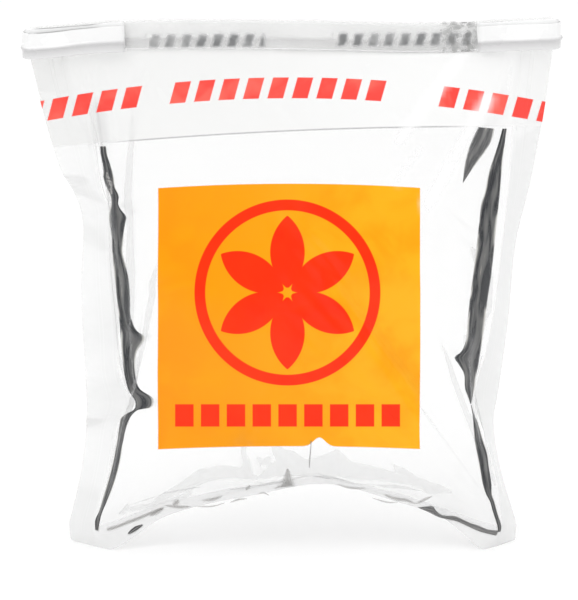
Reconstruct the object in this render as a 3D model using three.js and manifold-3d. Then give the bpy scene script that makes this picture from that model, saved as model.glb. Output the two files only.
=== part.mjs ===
// Closed specimen bag: a clear film pouch blown up with air and standing on its two bottom corners. Its mouth
// is rolled down over two wire tapes, and the tapes' ends are folded over the front of the roll as tabs.
// Millimetres, +Z up, the printed front towards -Y, the origin on the floor under the middle of the bag.
import * as THREE from "three";
import { mergeVertices } from "three/addons/utils/BufferGeometryUtils.js";
import Module from "manifold-3d";

const wasm = await Module();
wasm.setup();

// Film of the bag
const filmWidth = 152.4; // flat bag, over both side margins
const sideMargin = 11; // welded film outside each side seal
const marginThickness = 0.25; // two films welded together
const footThickness = 1.6; // the same where they are bunched up into a foot
const footHeight = 9;
const pouchHalfDepth = 20; // from the seal plane to the front or back, where the blown-up pouch is deepest
const deepestPlace = 0.76; // share of the way down from the roll to the bottom seal
const acrossShape = 3; // how full the section across is: 2 is a parabola, and more is flatter in the middle
const upperShape = 2.4; // the same, from the deepest place up to the roll
const lowerShape = 1.5; // and from there down to the bottom seal
const pouchLean = 0.08; // share of the depth that the left half gains and the right half loses

// Where the blown-up pouch pulls its seals to, from the floor up, as [x, z]
const leftSeal = [
  [-58.4, 5.7],
  [-54.9, 18.2],
  [-52.4, 30],
  [-50.9, 37.5],
  [-46.8, 43.6],
  [-50.2, 52],
  [-50.8, 66],
  [-52.5, 84],
  [-53.2, 95],
  [-52.4, 101.5],
  [-54.9, 107],
  [-57.2, 122],
];
const rightSeal = [
  [62.4, 6.4],
  [61.3, 18.2],
  [57.4, 33],
  [53.6, 45.6],
  [57.3, 60],
  [60.2, 78],
  [62.9, 105],
  [64.1, 126],
];
const bottomSeal = [
  [-38.6, 13.7],
  [-17.9, 17.9],
  [10.2, 21.8],
  [32.4, 16],
  [47.2, 11],
];

// The outer edges of the welded margins, as they show from the front
const leftEdge = [
  [-66.7, 4.8],
  [-62.9, 21.2],
  [-60.8, 40],
  [-62.3, 78],
  [-62, 100],
  [-68.2, 115.4],
  [-73.5, 134.8],
];
const rightEdge = [
  [67.4, 4.8],
  [62.4, 22],
  [60.4, 36],
  [64.3, 60],
  [66.4, 90],
  [70.3, 108],
  [73.8, 129],
];
// Between the two feet the bottom edge is [x, how far it bends to the back, z]
const bottomEdge = [
  [-58.7, 0, 0],
  [-53.5, -4, 0],
  [-47.5, -3.6, 3.3],
  [-38.6, -2.6, 9.3],
  [-26.8, -1.4, 12.9],
  [-12, -0.4, 15.6],
  [10.2, 0, 19.1],
  [32.4, -1.4, 13.7],
  [44.2, -2.6, 9.9],
  [52.5, -3.6, 3.6],
  [56.5, -4, 0],
  [61, 0, 0],
];
const footSpread = 7.5; // how far the corners of the side margins stand back on the floor
const leftFootX = -66.2;
const rightFootX = 67;

// Wire tapes in the mouth
const tapeHeight = 7.6;
const tapeThickness = 0.45;
const wireRidge = 0.5; // the wire's bulge on the outer face of a tape
const wireRidgeWidth = 1.9;
const wireDrop = 0.9; // the wire runs this far below the tape's middle
const leftTabLength = 27.7; // from the end of the roll
const rightTabLength = 22.2;
const tabSplay = 0.5; // the two tapes of a tab lie this much above and below the roll's line
const clearance = 0.3; // between pieces that touch
const bendSlack = 0.1; // how much looser than that the tapes go round the ends of the roll

// Roll of film over the tapes
const rollWall = 0.5; // six films
const rollCorner = 0.85; // share of the roll's half thickness that its edges are rounded by
const slotCorner = 0.3;
const rollHeight = 153.8; // middle of the roll over the floor, at the middle of the bag
// How the roll waves, as [x, z over rollHeight]
const rollLine = [
  [-76.5, -2.2],
  [-48, 0],
  [3, 0],
  [38, -0.7],
  [76.5, 0.8],
];

// Fineness of the surfaces
const acrossSteps = 30;
const downSteps = 38;
const marginSteps = 2;
const rollSteps = 26;
const bendSteps = 8;
const cornerSteps = 4;
const curveTolerance = 1e-5;

// Sizes that follow from the ones above
const coreOffset = (clearance + tapeThickness) / 2; // a tape's middle from the middle of the roll
const slotHalfDepth = clearance * 1.5 + tapeThickness + wireRidge;
const slotHalfHeight = tapeHeight / 2 + clearance;
const rollHalfDepth = slotHalfDepth + rollWall;
const rollHalfHeight = slotHalfHeight + rollWall;
const frontTabY = -(rollHalfDepth + clearance + wireRidge + tapeThickness / 2);
const backTabY = frontTabY - clearance - tapeThickness;
const rollEnd = filmWidth / 2;
const frontBendReach = clearance + bendSlack + wireRidge + tapeThickness / 2; // beyond the end of the roll
const backBendReach = frontBendReach + clearance + tapeThickness;

const materials = {
  film: new THREE.MeshStandardMaterial({
    color: 0xf4f6f6,
    roughness: 0.12,
    metalness: 0,
    transparent: true,
    opacity: 0.4,
  }),
  tape: new THREE.MeshStandardMaterial({ color: 0xf1f1f0, roughness: 0.35, metalness: 0 }),
};

function curve(points) {
  const vectors = points.map((p) => new THREE.Vector3(p[0], p.length > 2 ? p[1] : 0, p[p.length - 1]));
  return new THREE.CatmullRomCurve3(vectors, false, "centripetal");
}

const rollCurve = curve(rollLine);

// Height of the roll's middle line at x
function rollZ(x) {
  let low = 0;
  let high = 1;
  while (high - low > curveTolerance) {
    const middle = (low + high) / 2;
    if (rollCurve.getPoint(middle).x < x) low = middle;
    else high = middle;
  }
  return rollHeight + rollCurve.getPoint(low).z;
}

// Top of the film at x: in the middle of the roll's lower wall
function filmTop(x) {
  return rollZ(x) - slotHalfHeight - rollWall / 2;
}

function manifoldOf(geometry) {
  const bare = new THREE.BufferGeometry();
  bare.setAttribute("position", geometry.getAttribute("position"));
  if (geometry.index) bare.setIndex(geometry.index);
  const merged = mergeVertices(bare, 1e-4);
  return new wasm.Manifold(
    new wasm.Mesh({
      numProp: 3,
      vertProperties: new Float32Array(merged.attributes.position.array),
      triVerts: new Uint32Array(merged.index.array),
    }),
  );
}

function geometryOf(manifold) {
  const mesh = manifold.getMesh();
  const geometry = new THREE.BufferGeometry();
  geometry.setAttribute("position", new THREE.BufferAttribute(new Float32Array(mesh.vertProperties), 3));
  geometry.setIndex(new THREE.BufferAttribute(new Uint32Array(mesh.triVerts), 1));
  geometry.computeVertexNormals();
  return geometry;
}

// Share of the full depth at a place from 0, where it is deepest, to 1 at a seal
function swell(place, shape) {
  return 1 - Math.pow(Math.min(1, Math.abs(place)), shape);
}

// The pouch with its welded margins: two sheets, front and back, that part between the seals
function pouch() {
  const topLeft = -(filmWidth / 2 - sideMargin);
  const topRight = filmWidth / 2 - sideMargin;
  const left = curve([[topLeft, filmTop(topLeft)], ...leftSeal.toReversed()]);
  const right = curve([[topRight, filmTop(topRight)], ...rightSeal.toReversed()]);
  const bottom = curve([leftSeal[0], ...bottomSeal, rightSeal[0]]);
  const leftOuter = curve([[-rollEnd, filmTop(-rollEnd)], ...leftEdge.toReversed()]);
  const rightOuter = curve([[rollEnd, filmTop(rollEnd)], ...rightEdge.toReversed()]);
  const bottomOuter = curve(bottomEdge);

  // A point of the seal plane, at u from -1 to 1 across and v from 0 at the roll to 1 at the bottom seal
  function sealPlane(u, v) {
    const s = (u + 1) / 2;
    const top = new THREE.Vector3().lerpVectors(left.getPointAt(0), right.getPointAt(0), s);
    top.z = filmTop(top.x);
    const sides = new THREE.Vector3().lerpVectors(left.getPointAt(v), right.getPointAt(v), s);
    const ends = new THREE.Vector3().lerpVectors(top, bottom.getPointAt(s), v);
    const corners = new THREE.Vector3().lerpVectors(
      new THREE.Vector3().lerpVectors(left.getPointAt(0), right.getPointAt(0), s),
      new THREE.Vector3().lerpVectors(left.getPointAt(1), right.getPointAt(1), s),
      v,
    );
    return sides.add(ends).sub(corners);
  }

  // The margin keeps its width, so what does not show from the front turns to the back
  function marginPoint(seal, outer) {
    const shown = outer.x - seal.x;
    return new THREE.Vector3(outer.x, Math.sqrt(Math.max(0, sideMargin ** 2 - shown ** 2)), outer.z);
  }

  function sidePoint(side, v, share) {
    const seal = sealPlane(side, v);
    const edge = marginPoint(seal, (side < 0 ? leftOuter : rightOuter).getPointAt(v));
    edge.y = THREE.MathUtils.lerp(edge.y, footSpread, THREE.MathUtils.smoothstep(v, 0.85, 1));
    return new THREE.Vector3().lerpVectors(seal, edge, share);
  }

  function bottomPoint(u, share) {
    const edge = bottomOuter.getPointAt((u + 1) / 2);
    edge.z = Math.max(0, edge.z);
    return new THREE.Vector3().lerpVectors(sealPlane(u, 1), edge, share);
  }

  function cornerPoint(side, sideShare, bottomShare) {
    const foot = new THREE.Vector3(side < 0 ? leftFootX : rightFootX, footSpread, 0);
    const inner = new THREE.Vector3().lerpVectors(sealPlane(side, 1), sidePoint(side, 1, 1), sideShare);
    const outer = new THREE.Vector3().lerpVectors(bottomPoint(side, 1), foot, sideShare);
    return inner.lerp(outer, bottomShare);
  }

  // The columns run from the left edge to the right one, and the rows from the roll down to the bottom edge
  const columns = [];
  for (let i = marginSteps; i > 0; i--) columns.push({ u: -1, margin: i / marginSteps });
  for (let i = 0; i <= acrossSteps; i++) {
    columns.push({ u: Math.sin(Math.PI * (i / acrossSteps - 0.5)), margin: 0 });
  }
  for (let i = 1; i <= marginSteps; i++) columns.push({ u: 1, margin: i / marginSteps });
  const rows = [];
  for (let j = 0; j <= downSteps; j++) {
    rows.push({ v: (1 - Math.cos((Math.PI * j) / downSteps)) / 2, margin: 0 });
  }
  for (let j = 1; j <= marginSteps; j++) rows.push({ v: 1, margin: j / marginSteps });

  function middlePoint(column, row) {
    if (column.margin && row.margin) return cornerPoint(column.u, column.margin, row.margin);
    if (column.margin) return sidePoint(column.u, row.v, column.margin);
    if (row.margin) return bottomPoint(column.u, row.margin);
    return sealPlane(column.u, row.v);
  }

  // The front and back sheets lie on both sides of the seal plane, and part along Y where the pouch is blown up
  const middle = rows.map((row) => columns.map((column) => middlePoint(column, row)));
  function normal(i, j) {
    const right = middle[j][Math.min(i + 1, columns.length - 1)];
    const left = middle[j][Math.max(i - 1, 0)];
    const above = middle[Math.max(j - 1, 0)][i];
    const below = middle[Math.min(j + 1, rows.length - 1)][i];
    const across = new THREE.Vector3().subVectors(right, left);
    return new THREE.Vector3().subVectors(above, below).cross(across).normalize();
  }

  // The depth at u and v: flat in the middle, deepest low down, and a little more to the left
  function blownDepth(u, v) {
    const above = (deepestPlace - v) / deepestPlace;
    const below = (v - deepestPlace) / (1 - deepestPlace);
    const down = above > 0 ? swell(above, upperShape) : swell(below, lowerShape);
    return pouchHalfDepth * down * swell(u, acrossShape) * (1 - pouchLean * u);
  }

  function halfOffset(i, j) {
    const bunched = 1 - THREE.MathUtils.smoothstep(middle[j][i].z, 0, footHeight);
    const thickness = THREE.MathUtils.lerp(marginThickness, footThickness, bunched);
    const offset = normal(i, j).multiplyScalar(thickness / 2);
    if (columns[i].margin || rows[j].margin) {
      if (middle[j][i].z < 1e-6) offset.z = 0;
      return offset;
    }
    offset.y += blownDepth(columns[i].u, rows[j].v);
    return offset;
  }

  const positions = [];
  for (const side of [-1, 1]) {
    for (let j = 0; j < rows.length; j++) {
      for (let i = 0; i < columns.length; i++) {
        const p = middle[j][i].clone().addScaledVector(halfOffset(i, j), side);
        positions.push(p.x, p.y, p.z);
      }
    }
  }

  const across = columns.length;
  const sheet = across * rows.length;
  const indices = [];
  const quad = (a, b, c, d) => indices.push(a, b, c, a, c, d);
  for (let j = 0; j + 1 < rows.length; j++) {
    for (let i = 0; i + 1 < across; i++) {
      const a = j * across + i;
      quad(a, a + across, a + across + 1, a + 1);
      quad(sheet + a, sheet + a + 1, sheet + a + across + 1, sheet + a + across);
    }
    const first = j * across;
    const last = first + across - 1;
    quad(first, sheet + first, sheet + first + across, first + across);
    quad(last, last + across, sheet + last + across, sheet + last);
  }
  const base = (rows.length - 1) * across;
  for (let i = 0; i + 1 < across; i++) {
    quad(i, i + 1, sheet + i + 1, sheet + i);
    quad(base + i, sheet + base + i, sheet + base + i + 1, base + i + 1);
  }
  const geometry = new THREE.BufferGeometry();
  geometry.setAttribute("position", new THREE.Float32BufferAttribute(positions, 3));
  geometry.setIndex(indices);
  return geometry;
}

// Sweeps a closed section, as [out, up] points, along a path that runs level or nearly so
function sweep(section, path) {
  const positions = [];
  path.forEach((point, i) => {
    const ahead = path[Math.min(i + 1, path.length - 1)];
    const behind = path[Math.max(i - 1, 0)];
    const along = new THREE.Vector3().subVectors(ahead, behind).normalize();
    const out = new THREE.Vector3().crossVectors(along, new THREE.Vector3(0, 0, 1)).normalize();
    const up = new THREE.Vector3().crossVectors(out, along);
    for (const [o, u] of section) {
      const p = point.clone().addScaledVector(out, o).addScaledVector(up, u);
      positions.push(p.x, p.y, p.z);
    }
  });
  const n = section.length;
  const indices = [];
  for (let i = 0; i + 1 < path.length; i++) {
    for (let k = 0; k < n; k++) {
      const a = i * n + k;
      const b = i * n + ((k + 1) % n);
      indices.push(a, a + n, b, b, a + n, b + n);
    }
  }
  const outline = section.map(([o, u]) => new THREE.Vector2(o, u));
  const last = (path.length - 1) * n;
  for (const [a, b, c] of THREE.ShapeUtils.triangulateShape(outline, [])) {
    indices.push(a, b, c, last + c, last + b, last + a);
  }
  const geometry = new THREE.BufferGeometry();
  geometry.setAttribute("position", new THREE.Float32BufferAttribute(positions, 3));
  geometry.setIndex(indices);
  return geometry;
}

// A rectangle with round corners, counterclockwise, as [out, up] points
function roundedSection(halfDepth, halfHeight, radius) {
  const shape = new THREE.Shape();
  const [x, y, r] = [halfDepth, halfHeight, radius];
  shape.absarc(x - r, y - r, r, 0, Math.PI / 2);
  shape.absarc(-x + r, y - r, r, Math.PI / 2, Math.PI);
  shape.absarc(-x + r, -y + r, r, Math.PI, 1.5 * Math.PI);
  shape.absarc(x - r, -y + r, r, 1.5 * Math.PI, 2 * Math.PI);
  const points = shape.getPoints(cornerSteps).map((p) => [p.x, p.y]);
  return points.filter((p, i) => {
    const next = points[(i + 1) % points.length];
    return Math.hypot(p[0] - next[0], p[1] - next[1]) > 1e-3;
  });
}

// Points on the roll's middle line between two places, at distance y in front of or behind it
function alongRoll(from, to, y, steps) {
  const points = [];
  for (let i = 0; i <= steps; i++) {
    const x = THREE.MathUtils.lerp(from, to, i / steps);
    points.push(new THREE.Vector3(x, y, rollZ(x)));
  }
  return points;
}

// The rolled mouth, with the slot that the tapes lie in
function roll() {
  const outer = roundedSection(rollHalfDepth, rollHalfHeight, rollHalfDepth * rollCorner);
  const slot = roundedSection(slotHalfDepth, slotHalfHeight, slotCorner);
  const beyond = 1;
  const body = sweep(outer, alongRoll(-rollEnd, rollEnd, 0, rollSteps));
  const hollow = sweep(slot, alongRoll(-rollEnd - beyond, rollEnd + beyond, 0, rollSteps));
  return manifoldOf(body).subtract(manifoldOf(hollow));
}

// Section of a tape: flat, with the wire's ridge on one face
function tapeSection(ridgeSide) {
  const t = tapeThickness / 2;
  const h = tapeHeight / 2;
  const w = wireRidgeWidth / 2;
  const flat = [
    [-t, -h],
    [t, -h],
  ];
  const ridge = [
    [t, -wireDrop - w],
    [t + wireRidge * 0.7, -wireDrop - w * 0.55],
    [t + wireRidge, -wireDrop],
    [t + wireRidge * 0.7, -wireDrop + w * 0.55],
    [t, -wireDrop + w],
  ];
  const points = [...flat, ...ridge, [t, h], [-t, h]];
  return ridgeSide > 0 ? points : points.map(([o, u]) => [-o, u]).reverse();
}

// A tape runs through the slot and turns round both ends of the roll to lie on its front
function tape(coreY, tabY, reach, ridgeSide, lift) {
  const radius = Math.abs(tabY - coreY) / 2;
  const bendY = (tabY + coreY) / 2;
  const bend = (side, from) => {
    const points = [];
    for (let i = 1; i < bendSteps; i++) {
      const angle = (Math.PI * i) / bendSteps;
      const turned = from === "tab" ? angle : Math.PI - angle;
      points.push(
        new THREE.Vector3(
          side * (rollEnd + reach * Math.sin(angle)),
          bendY - radius * Math.cos(turned),
          rollZ(side * rollEnd) + (lift * (1 + Math.cos(turned))) / 2,
        ),
      );
    }
    return points;
  };
  const raised = (points) => points.map((p) => p.setZ(p.z + lift));
  const path = [
    ...raised(alongRoll(leftTabLength - rollEnd, -rollEnd, tabY, 4)),
    ...bend(-1, "tab"),
    ...alongRoll(-rollEnd, rollEnd, coreY, rollSteps),
    ...bend(1, "core"),
    ...raised(alongRoll(rollEnd, rollEnd - rightTabLength, tabY, 4)),
  ];
  return sweep(tapeSection(ridgeSide), path);
}

function piece(name, geometry, material) {
  const mesh = new THREE.Mesh(geometry, material);
  mesh.name = name;
  return mesh;
}

const bag = new THREE.Group();
bag.name = "specimen_bag";
bag.add(piece("bag_film", geometryOf(manifoldOf(pouch()).add(roll())), materials.film));
bag.add(piece("wire_tape_front", tape(-coreOffset, frontTabY, frontBendReach, 1, tabSplay), materials.tape));
bag.add(piece("wire_tape_back", tape(coreOffset, backTabY, backBendReach, -1, -tabSplay), materials.tape));

export default bag;
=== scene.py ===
"""Specimen bag: a clear film pouch blown up with air, its mouth rolled over two wire tapes.

The film is simulated as cloth: two flat sheets, welded along their sides and bottom, are blown up between
seals that bend as they do on the real bag. Lengths are in millimetres until a mesh is made from them.
"""

import math

import bpy
import numpy as np
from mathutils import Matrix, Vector
from mathutils.bvhtree import BVHTree


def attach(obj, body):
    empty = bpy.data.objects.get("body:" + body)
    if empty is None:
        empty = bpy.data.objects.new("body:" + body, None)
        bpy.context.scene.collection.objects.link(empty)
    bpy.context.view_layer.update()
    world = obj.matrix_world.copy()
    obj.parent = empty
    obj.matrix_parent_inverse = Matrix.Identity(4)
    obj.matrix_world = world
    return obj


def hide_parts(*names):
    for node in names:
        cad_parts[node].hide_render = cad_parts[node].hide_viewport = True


MM = 0.001

# Camera
PICTURE_HEIGHT = 600  # pixels
PICTURE_SCALE = 3.395  # pixels for each millimetre at the aim
AIM = np.array([-0.74, 0, 75])
AIM_UP = 73.3  # height of the aim in the picture, over the floor's front line
ELEVATION = math.radians(12)
DISTANCE = 1400
SENSOR = 36

# Film of the bag
FILM_WIDTH = 152.4
SIDE_MARGIN = 11
POUCH_HEIGHT = 146  # flat, from the roll to the bottom seal
POUCH_WIDTH = FILM_WIDTH - 2 * SIDE_MARGIN
FILM_GAP = 0.12  # between the two films of a welded margin
LEFT_SEAL = [
    (-65.2, -0.3, 147.6),
    (-63.6, 0, 138.5),
    (-57.2, 0.6, 122),
    (-54.9, 0.2, 107),
    (-52.4, 1.2, 101.5),
    (-53.2, -0.4, 95),
    (-52.5, 0, 84),
    (-50.8, 0.4, 66),
    (-50.2, -0.6, 52),
    (-46.8, 1.6, 43.6),
    (-50.9, 0.2, 37.5),
    (-52.4, -0.4, 30),
    (-54.9, 0, 18.2),
    (-58.2, 0.4, 6.2),
]
RIGHT_SEAL = [
    (65.2, -0.3, 149.4),
    (64.3, 0.2, 138),
    (64.1, 0, 126),
    (62.9, 0.3, 105),
    (60.2, -0.4, 78),
    (57.3, 0.3, 60),
    (53.6, 1.6, 45.6),
    (57.4, 0, 33),
    (61.3, -0.2, 18.2),
    (62.4, 0.2, 6.4),
]
BOTTOM_SEAL = [
    (-58.2, 0.4, 6.2),
    (-47.5, -0.6, 10.4),
    (-38.6, 0.8, 13.7),
    (-28, -0.8, 16),
    (-17.9, 0.6, 17.9),
    (-6, -0.7, 20),
    (10.2, 0.4, 21.8),
    (21, -0.5, 19),
    (32.4, 0.6, 16),
    (40, -0.6, 13.6),
    (47.2, 0.5, 11),
    (55, -0.4, 8.6),
    (62.4, 0.2, 6.4),
]

# Outer edges of the margins as they show from the front, as (x, z)
LEFT_EDGE = [
    (-76.2, 146.9),
    (-73.5, 134.8),
    (-68.2, 115.4),
    (-62, 100),
    (-62.3, 78),
    (-61.4, 58),
    (-60.8, 40),
    (-62.9, 21.2),
    (-66.7, 4.8),
]
RIGHT_EDGE = [
    (76.2, 149.7),
    (73.8, 129),
    (70.3, 108),
    (66.4, 90),
    (64.3, 66),
    (61.6, 45),
    (60.4, 36),
    (62.4, 22),
    (67.4, 4.8),
]
# Between the feet the bottom edge is (x, y, z)
BOTTOM_EDGE = [
    (-58.7, 0, 0),
    (-53.5, -4, 0),
    (-47.5, -3.6, 3.3),
    (-38.6, -2.6, 9.3),
    (-26.8, -1.4, 12.9),
    (-12, -0.4, 15.6),
    (10.2, 0, 19.1),
    (32.4, -1.4, 13.7),
    (44.2, -2.6, 9.9),
    (52.5, -3.6, 3.6),
    (56.5, -4, 0),
    (61, 0, 0),
]
FOOT_SPREAD = 7.5  # how far the corners of the side margins stand back on the floor
LEFT_FOOT_X = -66.2
RIGHT_FOOT_X = 67

# Blowing up the pouch
COLUMNS = 72
ROWS = 80
MARGIN_COLUMNS = 5
MARGIN_ROWS = 3
FRAMES = 22
SEALED_BY = 10  # frame by which the seals have bent to their place
PRESSURE = 60
VERTEX_MASS = 0.00005
QUALITY = 9

# Wire tapes in the mouth
TAPE_HEIGHT = 7.6
TAPE_THICKNESS = 0.45
WIRE_RIDGE = 0.5
WIRE_RIDGE_WIDTH = 1.9
WIRE_DROP = 0.9
LEFT_TAB = 27.7  # from the end of the roll
RIGHT_TAB = 22.2
TAB_SPLAY = 0.5
CLEARANCE = 0.3
BEND_SLACK = 0.1

# Roll of film over the tapes
ROLL_WALL = 0.5
ROLL_TURNS = 2.7
ROLL_HEIGHT = 153.8
ROLL_LINE = [(-76.5, -2.2), (-48, 0), (3, 0), (38, -0.7), (76.5, 0.8)]

SLOT_HALF_DEPTH = CLEARANCE * 1.5 + TAPE_THICKNESS + WIRE_RIDGE
SLOT_HALF_HEIGHT = TAPE_HEIGHT / 2 + CLEARANCE
ROLL_HALF_DEPTH = SLOT_HALF_DEPTH + ROLL_WALL
ROLL_HALF_HEIGHT = SLOT_HALF_HEIGHT + ROLL_WALL
CORE_OFFSET = (CLEARANCE + TAPE_THICKNESS) / 2
FRONT_TAB_Y = -(ROLL_HALF_DEPTH + CLEARANCE + WIRE_RIDGE + TAPE_THICKNESS / 2)
BACK_TAB_Y = FRONT_TAB_Y - CLEARANCE - TAPE_THICKNESS
ROLL_END = FILM_WIDTH / 2
FRONT_BEND = CLEARANCE + BEND_SLACK + WIRE_RIDGE + TAPE_THICKNESS / 2  # beyond the end of the roll
BACK_BEND = FRONT_BEND + CLEARANCE + TAPE_THICKNESS

# The print is laid out in the picture plane, in millimetres across and up
PRINT_SPAN = 200  # millimetres to one unit of the print map
PRINT_START = (0.5, 0)  # where the middle of the bag at the floor is in the print map
BARE_PLACE = (0.5, 0.01)  # a place of the print map with nothing on it

# Light of the studio, at its walls and its ceiling
SIDE_LIGHT = 0.5
TOP_LIGHT = 1.1

# Tucks of film along the seals, painted dark as shade with painted reflections, as (left edge, right edge)
# in pixels of the photograph
PIXEL_X = 291.5
PIXEL_Y = 549
LEFT_TUCK = (
    [
        (100, 146.5), (101, 156), (102.5, 163), (103.5, 171), (103, 177), (106.5, 187.5), (110.5, 196.5),
        (111, 204), (109.8, 210), (108.7, 217), (109.5, 223), (111, 232), (112, 240), (112.3, 252.5),
        (113, 263), (114.2, 274), (115.7, 288), (117.4, 303.5), (118.7, 315), (120, 330), (121, 345),
        (122.5, 360), (125, 378), (129, 392), (135, 401), (134.5, 409), (126, 414), (121, 418),
        (119.4, 426), (116.8, 443), (113.4, 460), (109, 477.5), (103.9, 494.7), (98.7, 512), (95, 520.5),
        (95, 530),
    ],
    [
        (106.2, 146.5), (107.5, 156), (109.7, 163), (112.3, 171), (113.8, 177), (115.2, 187.5), (119, 196.5),
        (118.2, 204), (121, 210), (126.3, 217), (125.3, 223), (123.8, 232), (123.4, 240), (122.5, 252.5),
        (125, 263), (127.6, 274), (129.5, 288), (130.2, 303.5), (130.4, 315), (136, 330), (145, 338),
        (137, 352), (135, 370), (139, 388), (153, 399), (152, 407), (138, 410), (130.6, 417),
        (126.5, 426), (122.9, 443), (120.3, 460), (116, 477.5), (110, 494.7), (102.4, 512), (100, 520.5),
        (98.5, 531),
    ],
)
RIGHT_TUCK = (
    [
        (502.4, 128.8), (498.4, 143.5), (493, 159.6), (487.7, 177), (485, 191.7), (481.4, 203.8),
        (479, 224), (476, 250.6), (472.7, 277.4), (469.9, 298.8), (467.5, 322), (466, 340), (461, 352),
        (454.5, 357.5), (459, 365), (464, 374), (465, 388.8), (468.6, 399), (470.2, 404),
    ],
    [
        (507, 128.8), (504.8, 143.5), (502.8, 159.6), (501.3, 177), (500, 191.7), (498.8, 203.8),
        (496.7, 224), (494, 250.6), (491, 277.4), (487.7, 298.8), (485, 322), (482.5, 340), (480.5, 352),
        (479.5, 358), (478.5, 365), (476.5, 374), (474.5, 388.8), (472.2, 399), (471.2, 404),
    ],
)
RIGHT_LOWER_TUCK = (
    [
        (470.8, 405), (472.6, 415), (473.5, 424), (474.5, 438.7), (476.7, 453), (479.6, 468),
        (482.3, 482.7), (486, 494.4), (490, 501.8), (492.8, 512), (497.2, 526.7), (498, 532),
    ],
    [
        (471.4, 405), (474.5, 415), (478.2, 424), (482.6, 438.7), (487, 453), (489, 468), (491.4, 482.7),
        (492, 494.4), (494.5, 501.8), (497.2, 512), (501.4, 526.7), (500.5, 532),
    ],
)
UPPER_LEAF = (
    [(478.3, 127.2), (473.6, 137), (468.3, 150), (464.3, 167.6), (462.8, 182)],
    [(494.6, 128.8), (493, 137), (486.5, 150), (473.5, 167.6), (463.2, 183)],
)
BOTTOM_RIGHT_TUCK = (
    [
        (418, 507.3), (427, 506.4), (432.7, 505.8), (435.6, 510), (442, 515), (454.7, 516), (462, 519),
        (471, 523), (480, 526), (488, 529.5), (499, 530.5),
    ],
    [
        (419.5, 508.6), (425, 511), (431, 513.8), (436, 516.5), (442, 518.6), (450, 520), (457.6, 522),
        (470.8, 528), (479, 531.5), (486, 533.6), (496, 536),
    ],
)
BOTTOM_LEFT_TUCK = (
    [(106.5, 527.5), (116, 525), (127, 520.5), (138, 516.5), (150, 511.5), (161, 507.5)],
    [(107.5, 531.5), (117, 529), (128, 524.5), (139, 520.5), (151, 515), (163, 509.5)],
)
BOTTOM_WEDGE = (
    [(286.5, 469), (284.5, 474), (281.5, 480), (277.5, 487)],
    [(288.5, 469), (291.5, 474), (294, 480), (296.5, 486.5)],
)
CENTRE_CREASE = (
    [(310.6, 441), (310, 450), (309, 460), (308.8, 468)],
    [(311.6, 441), (311.2, 450), (310.4, 460), (310, 468)],
)
OPEN_FOLD = (
    [(105, 172.5), (103.6, 178), (106.2, 186), (110.5, 195)],
    [(109, 172), (113.4, 178), (114.4, 186), (113.2, 194)],
)
FOOT_WRINKLE = (
    [(127.5, 533.5), (131, 529.5), (135, 526.5), (142, 524.5)],
    [(129.5, 534.5), (134, 532.5), (138.5, 529.5), (143, 525.5)],
)
# Soft crimps along the arch of the bottom seal, drawn as strips of painted grey shade, as (middle line,
# width) in pixels
CRIMPS = [
    ([(150, 516), (158, 511.5), (164, 507.5)], 7),
    ([(165, 505.5), (178, 507), (191, 507)], 5),
    ([(173, 505), (179, 500.5)], 8),
    ([(202, 500.5), (213, 499.5), (222, 496)], 5),
    ([(195, 506.5), (212, 506.5), (225, 503)], 2.4),
    ([(230, 502.5), (239, 499.5), (247, 499)], 3.4),
    ([(246, 490.5), (250, 485)], 4.5),
    ([(259, 494), (264, 493), (269, 495.5)], 2.4),
    ([(274, 488.7), (281, 487), (288, 487)], 3),
    ([(337, 484.5), (350, 488), (366, 488.5)], 3.4),
    ([(372, 498), (388, 502.5), (398, 502.5)], 2.6),
    ([(384, 494.5), (396, 499), (406, 500), (415, 504)], 5),
    ([(416, 504), (424, 500), (432, 496.5)], 4.5),
]

# Painted shade: soft grey darkening of the film's colour as (line, reach in millimetres, strength), in
# pixels of the photograph
SHADED_LINES = [
    ([(112, 529), (160, 507), (200, 495), (240, 485), (286, 479)], 9.0, 0.16),
    ([(286, 479), (330, 483), (390, 495), (440, 508), (490, 530)], 8.0, 0.16),
    ([(122, 205), (134, 212)], 3.0, 0.4),
    ([(122, 165), (124, 190), (132, 212)], 3.0, 0.2),
    ([(134, 335), (147, 337)], 3.2, 0.5),
    ([(140, 404), (153, 402)], 3.4, 0.5),
    ([(286, 478), (288, 460)], 4.0, 0.08),
    ([(468, 360), (452, 352)], 3.5, 0.3),
    ([(98, 108), (101, 132), (103, 145)], 3.4, 0.4),
    ([(505, 100), (490, 128)], 4.0, 0.2),
]
# Painted highlights: white streaks in the film's colour, as (line, reach in millimetres, strength), with
# lines in pixels
GLARE_LINES = [
    ([(470, 44), (440, 85), (400, 140)], 3.0, 1.0),
    ([(488, 100), (455, 155), (428, 205)], 3.2, 1.0),
    ([(420, 150), (398, 178)], 3.0, 0.6),
]

CRIMP_CURL = 0.08  # how far the middle of a crimp stands up
TUCK_CURL = 0.35  # the same of a tuck
TUCK_LIFT = 0.2  # from the film to a tuck that lies on it
TUCK_COLUMNS = 6
TUCK_STEP = 0.9  # length of a row
TUCK_MIN_ROWS = 6
CRIMP_ROWS = 12
CRIMP_TIP = 0.12  # how far round its half turn a crimp's width starts


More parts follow.
